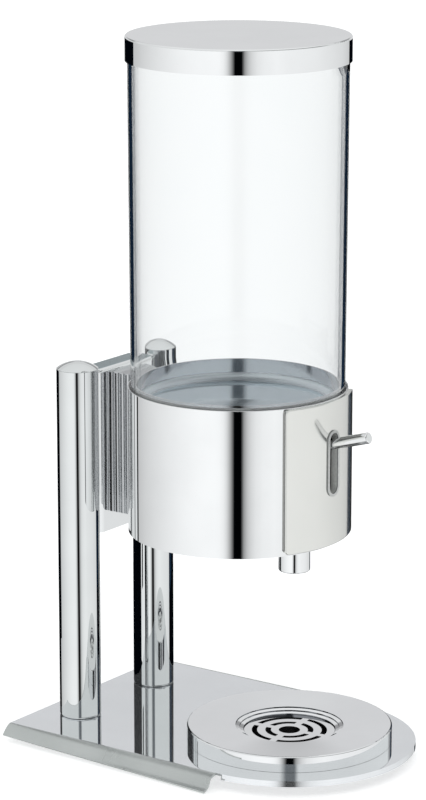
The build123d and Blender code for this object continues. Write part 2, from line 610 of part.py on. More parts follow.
# ---------------------------------------------------------------- tap
# Valve body: cross barrel for the rotor, flange under the support plate, stub for the spout.
SOCKET_Z = PLATE_TOP + 229.3
STUB_Z0 = PLATE_TOP + 165.3
STUB_Z1 = PLATE_TOP + 181.3
STUB_R = 7.5
with BuildPart() as valve_body:
    with BuildSketch(across(-BARREL_HL)):
        Circle(BARREL_R)
    extrude(amount=2 * BARREL_HL)
    with BuildSketch(axial(0, SPOUT_Y)):
        Polygon((0, STUB_Z0), (STUB_R, STUB_Z0), (STUB_R, STUB_Z1), (11.0, STUB_Z1), (11.0, PLATE_UP - SUPPORT_T - 5),
                (19.0, PLATE_UP - SUPPORT_T - 5), (19.0, PLATE_UP - SUPPORT_T), (0, PLATE_UP - SUPPORT_T))
    revolve(axis=tap_axis)
    with BuildSketch(across(-BARREL_HL)):
        Circle(ROTOR_R + RUN_FIT)
    extrude(amount=2 * BARREL_HL, mode=Mode.SUBTRACT)
    with BuildSketch(Plane.XY.offset(SOCKET_Z)):
        with Locations((0, SPOUT_Y)):
            Circle(TAIL_R + 0.35)
    extrude(amount=20, mode=Mode.SUBTRACT)
    with BuildSketch(Plane.XY.offset(STUB_Z0)):
        with Locations((0, SPOUT_Y)):
            Circle(PORT_R)
    extrude(amount=SOCKET_Z - STUB_Z0, mode=Mode.SUBTRACT)
    with BuildSketch(Plane.XY.offset(PLATE_UP - SUPPORT_T)):
        with Locations(*FLANGE_SPOTS):
            Circle(2.05)
    extrude(amount=-5.0, mode=Mode.SUBTRACT)
    with BuildSketch(across(-BARREL_HL)):
        with Locations((9.65, -10.5)):
            Circle(1.2)
    extrude(amount=-5.5)
valve_body.part.label = "valve_body"
export_step(valve_body.part, "parts/valve_body.step")

with BuildPart() as valve_screws:
    for x, y in FLANGE_SPOTS:
        with BuildSketch(axial(x, y)):
            Polygon((0, PLATE_UP - 8.0), (2.0, PLATE_UP - 8.0), (2.0, PLATE_UP - 2.1), (3.8, PLATE_UP - 0.3),
                    (0, PLATE_UP - 0.3))
        revolve(axis=Axis((x, y, 0), (0, 0, 1)))
    with BuildSketch(Plane.XY.offset(PLATE_UP - 0.3)):
        with Locations(*FLANGE_SPOTS):
            RegularPolygon(1.25, 6, major_radius=False)
    extrude(amount=-1.4, mode=Mode.SUBTRACT)
valve_screws.part.label = "valve_screws"
export_step(valve_screws.part, "parts/valve_screws.step")

# Screwed end caps: close the barrel and carry the rotor's shafts.
CAP_IN = 10.2
CAP_OUT = BARREL_HL + 3.0
with BuildPart() as valve_caps:
    for side in (-1, 1):
        with BuildSketch(across(side * CAP_IN)):
            Circle(ROTOR_R)
        extrude(amount=side * (BARREL_HL - CAP_IN))
        with BuildSketch(across(side * BARREL_HL)):
            Circle(12.6)
        extrude(amount=side * 3.0)
        with BuildSketch(across(side * CAP_OUT)):
            with PolarLocations(9.0, 2):
                Circle(1.5)
        extrude(amount=-side * 1.6, mode=Mode.SUBTRACT)
    with BuildSketch(across(-20)):
        Circle(SHAFT_R + RUN_FIT)
    extrude(amount=40, mode=Mode.SUBTRACT)
valve_caps.part.label = "valve_caps"
export_step(valve_caps.part, "parts/valve_caps.step")

# Rotor: cross port shut at rest, upright when the lever is down. Shafts have a flat for the yoke.
ARM_IN = 24.8
ARM_OUT = 28.3
RING_X = 7.3
PORT_DIR = (0, math.sin(math.radians(LEVER_TRAVEL)), math.cos(math.radians(LEVER_TRAVEL)))
with BuildPart() as valve_rotor:
    with BuildSketch(across(-10.0)):
        Circle(ROTOR_R)
    extrude(amount=20.0)
    with BuildSketch(across(-ARM_OUT)):
        Circle(SHAFT_R)
    extrude(amount=2 * ARM_OUT)
    for side in (-1, 1):
        with BuildSketch(across(side * RING_X)):
            Circle(ROTOR_R + 1)
            Circle(9.15, mode=Mode.SUBTRACT)
        extrude(amount=1.0, both=True, mode=Mode.SUBTRACT)
        with BuildSketch(across(side * (ARM_IN - 0.4))):
            with Locations((0, SHAFT_R - 0.75)):
                Rectangle(12, 1.5)
        extrude(amount=side * 10, mode=Mode.SUBTRACT)
        with BuildSketch(across(side * ARM_OUT)):
            Circle(2.02)
        extrude(amount=-side * 10, mode=Mode.SUBTRACT)
    with BuildSketch(Plane(origin=(0, SPOUT_Y, TAP_Z), x_dir=(1, 0, 0), z_dir=PORT_DIR)):
        Circle(PORT_R)
    extrude(amount=20, both=True, mode=Mode.SUBTRACT)
valve_rotor.part.label = "valve_rotor"
export_step(valve_rotor.part, "parts/valve_rotor.step")

with BuildPart() as rotor_seals:
    for side in (-1, 1):
        with BuildSketch(Plane(origin=(0, SPOUT_Y, TAP_Z), x_dir=(1, 0, 0), z_dir=(0, -1, 0))):
            with Locations((side * RING_X, 10.09)):
                Circle(0.92)
        revolve(axis=pivot_axis)
rotor_seals.part.label = "rotor_seals"
export_step(rotor_seals.part, "parts/rotor_seals.step")

# Lever yoke: two arms on the shaft ends, a bar across the front that takes the rod.
REST = math.radians(LEVER_REST)


def lever_plane(x):
    """Square to X, local x along the rod outwards, local y square to it."""
    return Plane(origin=(x, SPOUT_Y, TAP_Z), x_dir=(0, -math.cos(REST), math.sin(REST)), z_dir=(1, 0, 0))


UP = -1 if lever_plane(0).y_dir.Z < 0 else 1
BAR_0, BAR_1, BAR_HH = 20.4, 25.0, 4.6
with BuildPart() as lever_yoke:
    for side in (-1, 1):
        with BuildSketch(lever_plane(side * ARM_IN)):
            with BuildLine():
                Polyline((0, 9.2), (BAR_1, BAR_HH), (BAR_1, -BAR_HH), (0, -9.2))
                ThreePointArc((0, -9.2), (-9.2, 0), (0, 9.2))
            make_face()
        extrude(amount=side * (ARM_OUT - ARM_IN))
        with BuildSketch(across(side * (ARM_IN - 1))):
            Circle(SHAFT_R + 0.04)
            with Locations((0, SHAFT_R - 0.71)):
                Rectangle(12, 1.5, mode=Mode.SUBTRACT)
        extrude(amount=side * 10, mode=Mode.SUBTRACT)
    with BuildSketch(lever_plane(-ARM_OUT)):
        with Locations(((BAR_0 + BAR_1) / 2, 0)):
            Rectangle(BAR_1 - BAR_0, 2 * BAR_HH)
    extrude(amount=2 * ARM_OUT)
    with BuildSketch(across(-ARM_IN)):
        with Locations((-11.0, 9.5)):
            Circle(1.2)
    extrude(amount=2.2)
    with BuildSketch(Plane(origin=(0, SPOUT_Y, TAP_Z), x_dir=(1, 0, 0), z_dir=(0, -math.cos(REST), math.sin(REST)))):
        Circle(3.04)
    extrude(amount=40, mode=Mode.SUBTRACT)
lever_yoke.part.label = "lever_yoke"
export_step(lever_yoke.part, "parts/lever_yoke.step")

with BuildPart() as lever_rod:
    with BuildSketch(Plane(origin=(0, SPOUT_Y, TAP_Z), x_dir=(1, 0, 0),
                           z_dir=(0, -math.cos(REST), math.sin(REST))).offset(BAR_1)):
        Circle(ROD_R)
    extrude(amount=ROD_TIP - BAR_1)
    tip = Plane(origin=(0, SPOUT_Y, TAP_Z), x_dir=(1, 0, 0), z_dir=(0, -math.cos(REST), math.sin(REST))).offset(ROD_TIP)
    fillet(lever_rod.edges().filter_by(GeomType.CIRCLE).sort_by(Axis.Y)[0], 1.2)
    with BuildSketch(Plane(origin=(0, SPOUT_Y, TAP_Z), x_dir=(1, 0, 0),
                           z_dir=(0, -math.cos(REST), math.sin(REST))).offset(BAR_1)):
        Circle(3.0)
    extrude(amount=-(BAR_1 - BAR_0 - 0.3))
lever_rod.part.label = "lever_rod"
export_step(lever_rod.part, "parts/lever_rod.step")

with BuildPart() as yoke_screws:
    for side in (-1, 1):
        with BuildSketch(across(side * ARM_OUT)):
            Circle(6.5)
        extrude(amount=side * 1.0)
        with BuildSketch(across(side * (ARM_OUT + 1.0))):
            Circle(3.6)
            RegularPolygon(1.25, 6, major_radius=False, mode=Mode.SUBTRACT)
        extrude(amount=side * 2.6)
        with BuildSketch(across(side * ARM_OUT)):
            Circle(2.0)
        extrude(amount=-side * 9.0)
yoke_screws.part.label = "yoke_screws"
export_step(yoke_screws.part, "parts/yoke_screws.step")

# Torsion spring on the left shaft, wound in a local frame, then laid along -X.
COIL_R, WIRE_R, PITCH, TURNS, LEG = 7.4, 0.75, 1.62, 2.25, 9.0
with BuildPart() as return_spring:
    with BuildLine():
        coil = Helix(PITCH, PITCH * TURNS, COIL_R, lefthand=True)
    with BuildSketch(Plane(origin=coil @ 0, z_dir=coil % 0)):
        Circle(WIRE_R)
    sweep(path=coil, is_frenet=True)
    with BuildSketch(Plane(origin=coil @ 0, z_dir=-(coil % 0))):
        Circle(WIRE_R)
    extrude(amount=LEG)
    with BuildSketch(Plane(origin=coil @ 1, z_dir=coil % 1)):
        Circle(WIRE_R)
    extrude(amount=LEG)
spring_place = Plane(origin=(-19.3, SPOUT_Y, TAP_Z), x_dir=(0, 1, 0), z_dir=(-1, 0, 0))
spring_solid = spring_place.location * return_spring.part
spring_solid.label = "return_spring"
export_step(spring_solid, "parts/return_spring.step")

# Spout, screwed on the stub, with its sealing washer.
with BuildPart() as spout:
    with BuildSketch(axial(0, SPOUT_Y)):
        Polygon((7.0, SPOUT_Z0), (SPOUT_R, SPOUT_Z0), (SPOUT_R, SPOUT_Z1), (STUB_R + 0.03, SPOUT_Z1),
                (STUB_R + 0.03, STUB_Z0 - 2.0), (5.0, STUB_Z0 - 2.0), (5.0, STUB_Z0 - 5.0), (7.0, STUB_Z0 - 8.0))
    revolve(axis=tap_axis)
    fillet(spout.edges().filter_by(GeomType.CIRCLE).group_by(Axis.Z)[0], 1.2)
spout.part.label = "spout"
export_step(spout.part, "parts/spout.step")

with BuildPart() as spout_seal:
    with BuildSketch(Plane.XY.offset(STUB_Z0 - 2.0)):
        with Locations((0, SPOUT_Y)):
            Circle(STUB_R - 0.1)
            Circle(5.0, mode=Mode.SUBTRACT)
    extrude(amount=2.0)
spout_seal.part.label = "spout_seal"
export_step(spout_seal.part, "parts/spout_seal.step")

# ---------------------------------------------------------------- container and lid
# Clear tube, slightly tapered, bonded around a steel base with a collar inside the joint.
FLOOR_Z = PLATE_UP + BASE_T
TAIL_Z0 = SOCKET_Z + 0.4
GROOVE_Z = PLATE_UP - 6.0
BASE_R = cup_r(PLATE_UP) - CUP_WALL - 0.05
with BuildPart() as container:
    with BuildSketch(axial(0, HEAD_Y)) as tube_section:
        Polygon((cup_r(PLATE_UP), PLATE_UP), (cup_r(CUP_TOP), CUP_TOP), (cup_r(CUP_TOP) - CUP_WALL, CUP_TOP),
                (cup_r(PLATE_UP) - CUP_WALL, PLATE_UP))
        for r, z, bend in ((cup_r(PLATE_UP), PLATE_UP, 1.0), (cup_r(CUP_TOP), CUP_TOP, 0.8)):
            fillet(tube_section.vertices().sort_by_distance((r, z, 0))[0:1], bend)
    revolve(axis=head_axis)
container.part.label = "container"
export_step(container.part, "parts/container.step")

# Base: a disc with the outlet tail that plugs into the tap.
with BuildPart() as container_base:
    with BuildSketch(Plane.XY.offset(PLATE_UP)):
        with Locations((0, HEAD_Y)):
            Circle(BASE_R)
    extrude(amount=BASE_T)
    with BuildSketch(Plane.XY.offset(TAIL_Z0)):
        with Locations((0, SPOUT_Y)):
            Circle(TAIL_R)
    extrude(amount=PLATE_UP - TAIL_Z0 + 0.5)
    chamfer(container_base.edges().filter_by(GeomType.CIRCLE).group_by(Axis.Z)[0], 0.6)
    with BuildSketch(Plane.XY.offset(TAIL_Z0)):
        with Locations((0, SPOUT_Y)):
            Circle(5.0)
    extrude(amount=30, mode=Mode.SUBTRACT)
    with BuildSketch(Plane.XY.offset(FLOOR_Z - 1.3)):
        with Locations((0, SPOUT_Y)):
            Circle(7.0)
    extrude(amount=5, mode=Mode.SUBTRACT)
    with BuildSketch(Plane.XY.offset(GROOVE_Z - 1.0)):
        with Locations((0, SPOUT_Y)):
            Circle(TAIL_R + 0.2)
            Circle(6.45, mode=Mode.SUBTRACT)
    extrude(amount=2.0, mode=Mode.SUBTRACT)
container_base.part.label = "container_base"
export_step(container_base.part, "parts/container_base.step")

with BuildPart() as base_collar:
    with BuildSketch(axial(0, HEAD_Y)) as collar_section:
        Polygon((BASE_R, FLOOR_Z + 0.02), (BASE_R, COLLAR_TOP), (BASE_R - 1.0, COLLAR_TOP), (BASE_R - 1.0, FLOOR_Z + 0.14),
                (BASE_R - 1.6 - COLLAR_BEND, FLOOR_Z + 0.14), (BASE_R - 1.6 - COLLAR_BEND, FLOOR_Z + 0.02))
        fillet(collar_section.vertices().sort_by_distance((BASE_R - 1.0, FLOOR_Z + 0.14, 0))[0:1], COLLAR_BEND)
    revolve(axis=head_axis)
base_collar.part.label = "base_collar"
export_step(base_collar.part, "parts/base_collar.step")

with BuildPart() as tail_seal:
    with BuildSketch(axial(0, SPOUT_Y)):
        with Locations((7.4, GROOVE_Z)):
            Circle(0.9)
    revolve(axis=tap_axis)
tail_seal.part.label = "tail_seal"
export_step(tail_seal.part, "parts/tail_seal.step")

with BuildPart() as drain_strainer:
    with BuildSketch(Plane.XY.offset(FLOOR_Z - 1.3)):
        with Locations((0, SPOUT_Y)):
            Circle(6.9)
            Circle(1.1, mode=Mode.SUBTRACT)
            with PolarLocations(3.4, 6):
                Circle(0.9, mode=Mode.SUBTRACT)
    extrude(amount=1.2)
drain_strainer.part.label = "drain_strainer"
export_step(drain_strainer.part, "parts/drain_strainer.step")

with BuildPart() as lid:
    with BuildSketch(axial(0, HEAD_Y)) as lid_section:
        Polygon((0, LID_Z1 - LID_T), (LID_R - LID_T, LID_Z1 - LID_T), (LID_R - LID_T, LID_Z0), (LID_R, LID_Z0),
                (LID_R, LID_Z1), (0, LID_Z1))
        fillet(lid_section.vertices().sort_by_distance((LID_R, LID_Z1, 0))[0:1], 1.4)
    revolve(axis=head_axis)
lid.part.label = "lid"
export_step(lid.part, "parts/lid.step")

LINER_Z = CUP_TOP + 0.05
PLUG_R = cup_r(CUP_TOP - 10) - CUP_WALL - 1.2
with BuildPart() as lid_liner:
    with BuildSketch(axial(0, HEAD_Y)):
        Polygon((0, LINER_Z), (PLUG_R - 2.5, LINER_Z), (PLUG_R - 2.5, CUP_TOP - 9.0), (PLUG_R, CUP_TOP - 9.0),
                (PLUG_R, CUP_TOP - 6.0), (PLUG_R - 1.0, CUP_TOP - 6.0), (PLUG_R - 1.0, CUP_TOP - 3.5),
                (PLUG_R, CUP_TOP - 3.5), (PLUG_R, LINER_Z), (LID_R - LID_T - 0.6, LINER_Z),
                (LID_R - LID_T - 0.6, LID_Z1 - LID_T - 0.02), (0, LID_Z1 - LID_T - 0.02))
    revolve(axis=head_axis)
lid_liner.part.label = "lid_liner"
export_step(lid_liner.part, "parts/lid_liner.step")

with BuildPart() as lid_seal:
    with BuildSketch(axial(0, HEAD_Y)):
        Polygon((PLUG_R - 0.98, CUP_TOP - 5.98), (PLUG_R + 0.3, CUP_TOP - 5.98), (PLUG_R + 0.8, CUP_TOP - 4.75),
                (PLUG_R + 0.3, CUP_TOP - 3.52), (PLUG_R - 0.98, CUP_TOP - 3.52))
    revolve(axis=head_axis)
lid_seal.part.label = "lid_seal"
export_step(lid_seal.part, "parts/lid_seal.step")

# ---------------------------------------------------------------- drip tray
with BuildPart() as drip_pan:
    with BuildSketch(axial(0, TRAY_Y)):
        Polygon((0, PLATE_TOP + 0.02), (TRAY_R - 1.7, PLATE_TOP + 0.02), (TRAY_R - 1.7, PLATE_TOP + 8.0), (TRAY_R - 2.7, PLATE_TOP + 8.0),
                (TRAY_R - 2.7, PLATE_TOP + 1.2), (0, PLATE_TOP + 1.2))
    revolve(axis=tray_axis)
drip_pan.part.label = "drip_pan"
export_step(drip_pan.part, "parts/drip_pan.step")

# Cover: cap over the pan, top falling gently to a stepped well, inner ledge for the sieve.
T = 1.2
with BuildPart() as tray_cover:
    with BuildSketch(axial(0, TRAY_Y)) as cover_section:
        rim, seat = TRAY_TOP - WELL_DIP, SIEVE_TOP - 1.22
        Polygon((TRAY_R, PLATE_TOP + 0.12), (TRAY_R, TRAY_TOP), (WELL_R, rim), (WELL_R - 0.1, rim - 0.8),
                (WELL_R - 2.7, rim - 1.7), (WELL_R - 2.8, rim - 2.5), (WELL_R - 5.4, rim - 3.4),
                (SIEVE_R + 0.5, seat), (SIEVE_R - 2.0, seat), (SIEVE_R - 2.0, seat - 1.18),
                (SIEVE_R + 1.8, seat - 1.18), (WELL_R - 4.2, rim - 4.35), (WELL_R - 1.55, rim - 3.45), (WELL_R - 1.5, rim - 2.65),
                (WELL_R + 1.15, rim - 1.75), (WELL_R + 1.2, rim - 1.25), (TRAY_R - T, TRAY_TOP - T - 0.05), (TRAY_R - T, PLATE_TOP + 0.12))
        fillet(cover_section.vertices().sort_by_distance((TRAY_R, TRAY_TOP, 0))[0:1], 1.15)
        fillet(cover_section.vertices().sort_by_distance((WELL_R, rim, 0))[0:1], 0.25)
    revolve(axis=tray_axis)
tray_cover.part.label = "tray_cover"
export_step(tray_cover.part, "parts/tray_cover.step")

# Sieve: two rings of arc slots around a round hole.
with BuildPart() as sieve:
    with BuildSketch(Plane.XY.offset(SIEVE_TOP - 1.2)):
        with Locations((0, TRAY_Y)):
            Circle(SIEVE_R)
            Circle(7.65, mode=Mode.SUBTRACT)
    extrude(amount=1.2)
    with BuildSketch(Plane.XY.offset(SIEVE_TOP - 1.2)):
        with Locations((0, TRAY_Y)):
            Circle(26.95)
            Circle(23.1, mode=Mode.SUBTRACT)
            Circle(17.25)
            Circle(13.2, mode=Mode.SUBTRACT)
            with Locations(Location((0, 0), 7.5)):
                Rectangle(5.0, 70, mode=Mode.SUBTRACT)
                Rectangle(70, 5.0, mode=Mode.SUBTRACT)
    extrude(amount=1.2, mode=Mode.SUBTRACT)
sieve.part.label = "sieve"
export_step(sieve.part, "parts/sieve.step")
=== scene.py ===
import bpy
import json
import math
from mathutils import Matrix, Vector

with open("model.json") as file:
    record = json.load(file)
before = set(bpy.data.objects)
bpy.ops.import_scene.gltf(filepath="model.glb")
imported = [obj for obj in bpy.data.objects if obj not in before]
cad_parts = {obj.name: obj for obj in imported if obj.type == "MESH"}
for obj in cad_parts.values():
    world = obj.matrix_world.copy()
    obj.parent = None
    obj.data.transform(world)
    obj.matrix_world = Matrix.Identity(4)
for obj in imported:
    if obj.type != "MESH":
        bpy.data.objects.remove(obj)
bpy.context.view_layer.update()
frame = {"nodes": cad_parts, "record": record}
nodes = frame["nodes"]
scene = bpy.context.scene
scene.view_settings.view_transform = "Standard"
scene.view_settings.look = "None"

# ---------------------------------------------------------------- camera
CAM_POS = Vector((-1.87485, -1.31789, 0.81454))
CAM_YAW, CAM_PITCH = math.radians(54.471), math.radians(-13.754)
CAM_F = 3339.63             # focal length in pixels of the 800-pixel side

ahead = Vector((math.sin(CAM_YAW) * math.cos(CAM_PITCH), math.cos(CAM_YAW) * math.cos(CAM_PITCH), math.sin(CAM_PITCH)))
right = Vector((math.cos(CAM_YAW), -math.sin(CAM_YAW), 0.0))
up = right.cross(ahead)
cam_data = bpy.data.cameras.new("camera")
cam_data.sensor_fit = "AUTO"
cam_data.sensor_width = 36.0
cam_data.lens = CAM_F / 800.0 * 36.0
cam_data.clip_start, cam_data.clip_end = 0.05, 50.0
cam = bpy.data.objects.new("camera", cam_data)
scene.collection.objects.link(cam)
rot = Matrix((right, up, -ahead)).transposed().to_4x4()
cam.matrix_world = Matrix.Translation(CAM_POS) @ rot
scene.camera = cam

# ---------------------------------------------------------------- studio
# A white tent with a dark gap on the camera's side and dark surroundings beside the backdrop, as polished steel needs.
# The bands follow the compass direction and fade out above the horizon.
toward = Vector((-math.sin(CAM_YAW), -math.cos(CAM_YAW), 0.0))


def ramp(tree, stops, mode="LINEAR"):
    node = tree.nodes.new("ShaderNodeValToRGB")
    node.color_ramp.interpolation = mode
    els = node.color_ramp.elements
    while len(els) > 1:
        els.remove(els[-1])
    els[0].position, els[0].color = stops[0][0], (*stops[0][1], 1.0)
    for pos, col in stops[1:]:
        e = els.new(pos)
        e.color = (*col, 1.0)
    return node


def grey(v, tint=(1.0, 1.0, 1.0)):
    return tuple(v * t for t in tint)


world = bpy.data.worlds.new("studio")
scene.world = world
world.use_nodes = True
wt = world.node_tree
wt.nodes.clear()
coord = wt.nodes.new("ShaderNodeTexCoord")
dots = []
for axis in (toward, right, Vector((0, 0, 1))):
    n = wt.nodes.new("ShaderNodeVectorMath")
    n.operation = "DOT_PRODUCT"
    n.inputs[1].default_value = axis
    wt.links.new(coord.outputs["Generated"], n.inputs[0])
    dots.append(n.outputs["Value"])
turn = wt.nodes.new("ShaderNodeMath")
turn.operation = "ARCTAN2"
wt.links.new(dots[1], turn.inputs[0])
wt.links.new(dots[0], turn.inputs[1])
unit = wt.nodes.new("ShaderNodeMapRange")
unit.inputs["From Min"].default_value = -math.pi
unit.inputs["From Max"].default_value = math.pi
wt.links.new(turn.outputs[0], unit.inputs["Value"])


def at(deg):
    return deg / 360.0 + 0.5


COOL = (0.985, 1.0, 1.005)
DARK = (0.001, 0.002, 0.004)
LEVELS = [(-180, 1.0), (-150, 0.60), (-131, 0.60), (-123.7, 0.64), (-113.5, 0.72), (-104.6, 0.77), (-89, 0.85), (-75, 0.92), (-62.6, 0.975),
          (-50.9, 1.02), (-39.6, 1.05), (-24.5, 1.06), (-19.3, 1.04), (-15.1, 0.955), (-11.9, 0.78), (-8.8, 0.48), (-5.7, 0.13),
          (-4.4, 0.001), (3.7, 0.001), (4.5, 0.17), (5.7, 0.32), (7.8, 0.49), (9.9, 0.62), (13, 0.75), (18.2, 0.885), (25.6, 0.965),
          (38, 1.01), (49, 0.97), (85, 0.925), (127, 0.78), (150, 0.62), (180, 1.0)]
bands = ramp(wt, [(at(deg), grey(v, COOL if v > 0.05 else (0.6, 1.0, 1.4))) for deg, v in LEVELS])
wt.links.new(unit.outputs["Result"], bands.inputs["Fac"])
SIDE = grey(0.80, (0.97, 1.0, 0.995))
FRONT = grey(0.14, (0.9, 1.0, 1.08))
BACKDROP = grey(0.70, (0.985, 0.995, 1.01))
GAP_AT, GAP_IN, GAP_OUT = 0.0075, 0.0018, 0.0070
DIM = grey(0.34, (0.98, 0.995, 1.01))
low_sky = ramp(wt, [
    (at(-180), BACKDROP), (at(-175.5), BACKDROP), (at(-172), DIM), (at(-136), DIM), (at(-130), SIDE),
    (at(-12), SIDE), (at(-5), FRONT), (at(4.5), FRONT), (at(9), SIDE), (at(144), SIDE), (at(150), DIM), (at(172), DIM), (at(175.5), BACKDROP), (at(180), BACKDROP),
])
wt.links.new(unit.outputs["Result"], low_sky.inputs["Fac"])
FAR = grey(0.52, (0.985, 0.995, 1.01))
soft_sky = ramp(wt, [(at(-180), BACKDROP), (at(-160), BACKDROP), (at(-140), SIDE), (at(-12), SIDE), (at(-5), FRONT), (at(4.5), FRONT), (at(9), SIDE),
                     (at(140), SIDE), (at(160), BACKDROP), (at(180), BACKDROP)])
wt.links.new(unit.outputs["Result"], soft_sky.inputs["Fac"])
LOFT, LOFT_FRONT, LOFT_RIGHT = grey(0.78, COOL), grey(0.06, (0.95, 1.0, 1.02)), grey(0.10, (0.95, 1.0, 1.02))
mid_sky = ramp(wt, [(at(-180), LOFT), (at(-14), LOFT), (at(-8), LOFT_FRONT), (at(6), LOFT_FRONT), (at(14), LOFT_RIGHT), (at(100), LOFT_RIGHT), (at(118), LOFT), (at(180), LOFT)])
wt.links.new(unit.outputs["Result"], mid_sky.inputs["Fac"])
high = ramp(wt, [(0.0, grey(0.74, COOL)), (0.35, grey(0.80, COOL)), (1.0, grey(0.9, COOL))])
wt.links.new(dots[2], high.inputs["Fac"])


def rise(lo, hi, a, b):
    step = wt.nodes.new("ShaderNodeMapRange")
    step.interpolation_type = "SMOOTHSTEP"
    step.inputs["From Min"].default_value = lo
    step.inputs["From Max"].default_value = hi
    wt.links.new(dots[2], step.inputs["Value"])
    mix = wt.nodes.new("ShaderNodeMix")
    mix.data_type = "RGBA"
    wt.links.new(step.outputs["Result"], mix.inputs["Factor"])
    wt.links.new(a, mix.inputs["A"])
    wt.links.new(b, mix.inputs["B"])
    return mix.outputs["Result"]


def blend(kind, lo, hi, source, first, last):
    step = wt.nodes.new("ShaderNodeMapRange")
    step.interpolation_type = kind
    step.inputs["From Min"].default_value = lo
    step.inputs["From Max"].default_value = hi
    step.inputs["To Min"].default_value = first
    step.inputs["To Max"].default_value = last
    wt.links.new(source, step.inputs["Value"])
    return step.outputs["Result"]


def sums(kind, a, b):
    n = wt.nodes.new("ShaderNodeMath")
    n.operation = kind
    for i, v in enumerate((a, b)):
        if isinstance(v, float):
            n.inputs[i].default_value = v
        else:
            wt.links.new(v, n.inputs[i])
    return n.outputs["Value"]


floor_shade = wt.nodes.new("ShaderNodeRGB")
floor_shade.outputs[0].default_value = (0.02, 0.022, 0.025, 1)
low = rise(0.0, 0.06, bands.outputs["Color"], soft_sky.outputs["Color"])
far_sky = ramp(wt, [(at(-180), FAR), (at(-160), FAR), (at(-140), SIDE), (at(-12), SIDE), (at(-5), FRONT), (at(4.5), FRONT), (at(9), SIDE),
                    (at(140), SIDE), (at(160), FAR), (at(180), FAR)])
wt.links.new(unit.outputs["Result"], far_sky.inputs["Fac"])
low = rise(0.175, 0.195, low, far_sky.outputs["Color"])
low = rise(0.25, 0.28, low, low_sky.outputs["Color"])
low = rise(0.37, 0.43, low, mid_sky.outputs["Color"])
low = rise(0.60, 0.68, low, high.outputs["Color"])
open_sky = rise(-0.86, -0.72, floor_shade.outputs[0], low)
# A narrow dark gap in the middle of the backdrop, low down: the container's floor mirrors it.
beside = sums("ABSOLUTE", sums("ADD", sums("DIVIDE", dots[1], dots[0]), GAP_AT), 0.0)
gap = sums("MULTIPLY", blend("SMOOTHSTEP", GAP_IN, GAP_OUT, beside, 1.0, 0.0), sums("LESS_THAN", dots[0], 0.0))
gap = sums("MULTIPLY", gap, blend("SMOOTHSTEP", 0.17, 0.19, dots[2], 0.0, 1.0))
gap = sums("MULTIPLY", gap, blend("SMOOTHSTEP", 0.262, 0.275, dots[2], 1.0, 0.0))
gap_mix = wt.nodes.new("ShaderNodeMix")
gap_mix.data_type = "RGBA"
gap_mix.inputs["B"].default_value = (0.02, 0.026, 0.03, 1)
wt.links.new(gap, gap_mix.inputs["Factor"])
wt.links.new(open_sky, gap_mix.inputs["A"])
sky = gap_mix.outputs["Result"]
back = wt.nodes.new("ShaderNodeBackground")
wt.links.new(sky, back.inputs["Color"])
back.inputs["Strength"].default_value = 1.0
wout = wt.nodes.new("ShaderNodeOutputWorld")
wt.links.new(back.outputs["Background"], wout.inputs["Surface"])

floor_mesh = bpy.data.meshes.new("floor")
floor_mesh.from_pydata([(-14, -14, 0), (14, -14, 0), (14, 14, 0), (-14, 14, 0)], [], [(0, 1, 2, 3)])
floor = bpy.data.objects.new("floor", floor_mesh)
scene.collection.objects.link(floor)
fm = bpy.data.materials.new("floor_pale")
fm.use_nodes = True
fb = fm.node_tree.nodes["Principled BSDF"]
fb.inputs["Base Color"].default_value = (0.86, 0.86, 0.86, 1)
fb.inputs["Roughness"].default_value = 0.9
fb.inputs["Specular IOR Level"].default_value = 0.0
fb.inputs["Emission Color"].default_value = (1, 1, 1, 1)
fb.inputs["Emission Strength"].default_value = 0.52
floor_mesh.materials.append(fm)
floor.visible_glossy = False
floor.visible_transmission = False

# Dark ground beside the white backdrop, behind and to the right of the object: only reflections and the clear tube see it.
DARK_GROUND = [(-0.048, 0.138), (-0.048, 0.4), (0.0, 0.83), (0.34, 3.465), (0.9, 9.0), (6.17, 9.0), (6.17, 6.85), (0.266, 0.401),
               (0.466, 0.121), (8.48, 3.61), (9.0, 3.61), (9.0, 0.5), (3.6, 0.145), (1.5, 0.0), (0.8, -0.06), (0.3, -0.095),
               (0.108, 0.035), (0.108, 0.138)]
def matt(name, colour):
    m = bpy.data.materials.new(name)
    m.use_nodes = True
    b = m.node_tree.nodes["Principled BSDF"]
    b.inputs["Base Color"].default_value = (*colour, 1)
    b.inputs["Specular IOR Level"].default_value = 0.0
    b.inputs["Roughness"].default_value = 1.0
    return m


def studio_card(name, points, material, glossy, through):
    mesh = bpy.data.meshes.new(name)
    mesh.from_pydata(points, [], [tuple(range(len(points)))])
    mesh.materials.append(material)
    card = bpy.data.objects.new(name, mesh)
    scene.collection.objects.link(card)
    card.visible_camera = False
    card.visible_diffuse = False
    card.visible_shadow = False
    card.visible_glossy = glossy
    card.visible_transmission = through


black_card = matt("card_black", DARK)
navy_card = matt("card_navy", (0.010, 0.026, 0.055))
studio_card("ground_black", [(x, y, 0.0002) for x, y in DARK_GROUND], black_card, True, False)
deep_card = matt("card_deep", (0.010, 0.024, 0.048))
# Seen through the clear wall only: two wedges beside the white strip that lies behind the object.
for name, wedge in (("ground_navy_left", [(0.266, 0.401), (6.17, 6.85), (3.298, 8.374), (0.128, 0.326)]),
                    ("ground_navy_right", [(0.466, 0.121), (0.450, 0.020), (8.991, 0.393), (8.48, 3.61)])):
    studio_card(name, [(x, y, 0.0003) for x, y in wedge], navy_card, False, True)

